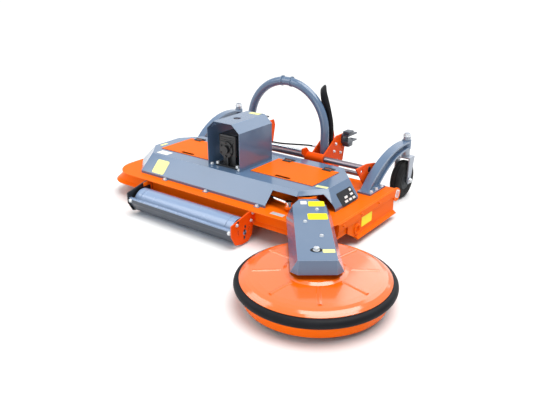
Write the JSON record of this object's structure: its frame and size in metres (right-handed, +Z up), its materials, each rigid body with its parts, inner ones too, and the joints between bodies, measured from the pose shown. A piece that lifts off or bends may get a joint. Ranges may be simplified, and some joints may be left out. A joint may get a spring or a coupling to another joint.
{
  "type": "rear-mounted mower with swinging side disc",
  "caption": "Rear-mounted orchard mower: wide deck with belt hood, rear roller, front castors, side-shift hitch and a swinging rubber-ringed side disc.",
  "frame": {"origin": "on the ground, under the middle of the overall outline", "axes": "+X to the machine's right seen from behind, +Y forward to the tractor, +Z up"},
  "size_m": [2.46, 2.0989, 0.8209],
  "materials": {
    "orange_paint": "gloss powder coat",
    "grey_paint": "satin powder coat",
    "black_paint": "satin enamel",
    "machined_steel": "turned",
    "blade_steel": "hardened, ground edges",
    "chrome_rod": "polished",
    "zinc_plate": "galvanised",
    "cast_grey": "cast, painted",
    "tyre_rubber": "solid rubber",
    "ring_rubber": "matt moulded rubber",
    "hose_rubber": "matt hose cover",
    "belt_rubber": "moulded belt",
    "rim_plastic": "moulded"
  },
  "bodies": {
    "frame": {"deck_pan": "orange_paint", "side_skid": "orange_paint", "belt_hood": "grey_paint", "gearbox_pedestal": "black_paint", "gearbox": "black_paint", "gearbox_guard": "grey_paint", "spindle_housings": "cast_grey", "belt_left": "belt_rubber", "belt_right": "belt_rubber", "roller_plate_left": "black_paint", "roller_plate_right": "orange_paint", "scraper_bar": "grey_paint", "castor_arm_left": "grey_paint", "castor_arm_right": "grey_paint", "slide_bracket_left": "orange_paint", "slide_bracket_right": "orange_paint", "slide_bars": "machined_steel", "shift_barrel": "black_paint", "pivot_post": "black_paint", "cylinder_post": "black_paint"},
    "left_lid": {"lid_left": "orange_paint"},
    "right_lid": {"lid_right": "orange_paint"},
    "input": {"input_shaft": "machined_steel"},
    "left_rotor": {"rotor_left": "blade_steel", "pulley_left": "cast_grey"},
    "centre_rotor": {"rotor_centre": "blade_steel", "pulley_centre": "cast_grey"},
    "right_rotor": {"rotor_right": "blade_steel", "pulley_right": "cast_grey"},
    "rear_roller": {"roller": "grey_paint"},
    "left_castor": {"castor_fork_left": "zinc_plate"},
    "right_castor": {"castor_fork_right": "zinc_plate"},
    "left_wheel": {"castor_rim_left": "rim_plastic", "castor_tyre_left": "tyre_rubber"},
    "right_wheel": {"castor_rim_right": "rim_plastic", "castor_tyre_right": "tyre_rubber"},
    "hitch": {"headstock": "orange_paint", "hitch_hoop": "grey_paint", "link_block_left": "black_paint", "link_block_right": "black_paint", "shift_rod": "chrome_rod", "hose_loop_outer": "hose_rubber", "hose_loop_inner": "hose_rubber", "cross_hose": "hose_rubber"},
    "arm": {"swing_arm": "orange_paint", "arm_cover": "grey_paint"},
    "feeler": {"feeler_disc": "orange_paint", "bumper_ring": "ring_rubber"},
    "side_rotor": {"disc_rotor": "blade_steel"},
    "swing_cylinder": {"swing_barrel": "black_paint"},
    "swing_rod": {"swing_rod": "chrome_rod"}
  },
  "joints": [
    {"name": "lid_left_open", "type": "hinge", "parent": "frame", "child": "left_lid", "pos_m": [-0.6725, 0.3075, 0.3263], "axis": [-1, 0, 0], "range_deg": [0, 100]},
    {"name": "lid_right_open", "type": "hinge", "parent": "frame", "child": "right_lid", "pos_m": [0.1425, 0.3075, 0.3263], "axis": [-1, 0, 0], "range_deg": [0, 100]},
    {"name": "input_turn", "type": "hinge", "parent": "frame", "child": "input", "pos_m": [-0.265, 0.1945, 0.44], "axis": [0, 1, 0], "continuous": true},
    {"name": "rotor_left_turn", "type": "hinge", "parent": "frame", "child": "left_rotor", "pos_m": [-0.795, 0.2395, 0.2], "axis": [0, 0, 1], "continuous": true},
    {"name": "rotor_centre_turn", "type": "hinge", "parent": "frame", "child": "centre_rotor", "pos_m": [-0.265, 0.0395, 0.2], "axis": [0, 0, 1], "continuous": true},
    {"name": "rotor_right_turn", "type": "hinge", "parent": "frame", "child": "right_rotor", "pos_m": [0.265, 0.2395, 0.2], "axis": [0, 0, 1], "continuous": true},
    {"name": "roller_turn", "type": "hinge", "parent": "frame", "child": "rear_roller", "pos_m": [-0.315, -0.3555, 0.08], "axis": [1, 0, 0], "continuous": true},
    {"name": "castor_left_swivel", "type": "hinge", "parent": "frame", "child": "left_castor", "pos_m": [-0.983, 0.9445, 0.38], "axis": [0, 0, 1], "continuous": true},
    {"name": "castor_right_swivel", "type": "hinge", "parent": "frame", "child": "right_castor", "pos_m": [0.535, 0.9445, 0.38], "axis": [0, 0, 1], "continuous": true},
    {"name": "wheel_left_roll", "type": "hinge", "parent": "left_castor", "child": "left_wheel", "pos_m": [-0.983, 0.9145, 0.135], "axis": [1, 0, 0], "continuous": true},
    {"name": "wheel_right_roll", "type": "hinge", "parent": "right_castor", "child": "right_wheel", "pos_m": [0.535, 0.9145, 0.135], "axis": [1, 0, 0], "continuous": true},
    {"name": "side_shift", "type": "slide", "parent": "frame", "child": "hitch", "axis": [1, 0, 0], "range_m": [-0.17, 0.125]},
    {"name": "arm_swing", "type": "hinge", "parent": "frame", "child": "arm", "pos_m": [0.385, -0.0655, 0.24], "axis": [0, 0, 1], "range_deg": [-25, 25]},
    {"name": "swing_barrel_turn", "type": "hinge", "parent": "frame", "child": "swing_cylinder", "pos_m": [-0.115, -0.0965, 0.249], "axis": [0, 0, 1], "range_deg": [-3, 3]},
    {"name": "swing_rod_slide", "type": "slide", "parent": "swing_cylinder", "child": "swing_rod", "axis": [0.9862, -0.1659, 0], "range_m": [-0.0487, 0.0487]},
    {"name": "feeler_turn", "type": "hinge", "parent": "arm", "child": "feeler", "pos_m": [0.825, -0.6445, 0.16], "axis": [0, 0, 1], "continuous": true},
    {"name": "side_rotor_turn", "type": "hinge", "parent": "arm", "child": "side_rotor", "pos_m": [0.825, -0.6445, 0.1], "axis": [0, 0, 1], "continuous": true}
  ],
  "couplings": [
    {"joint": "swing_barrel_turn", "follows": "arm_swing", "ratio": -0.095625},
    {"joint": "swing_rod_slide", "follows": "arm_swing", "m_per_rad": 0.11043}
  ]
}
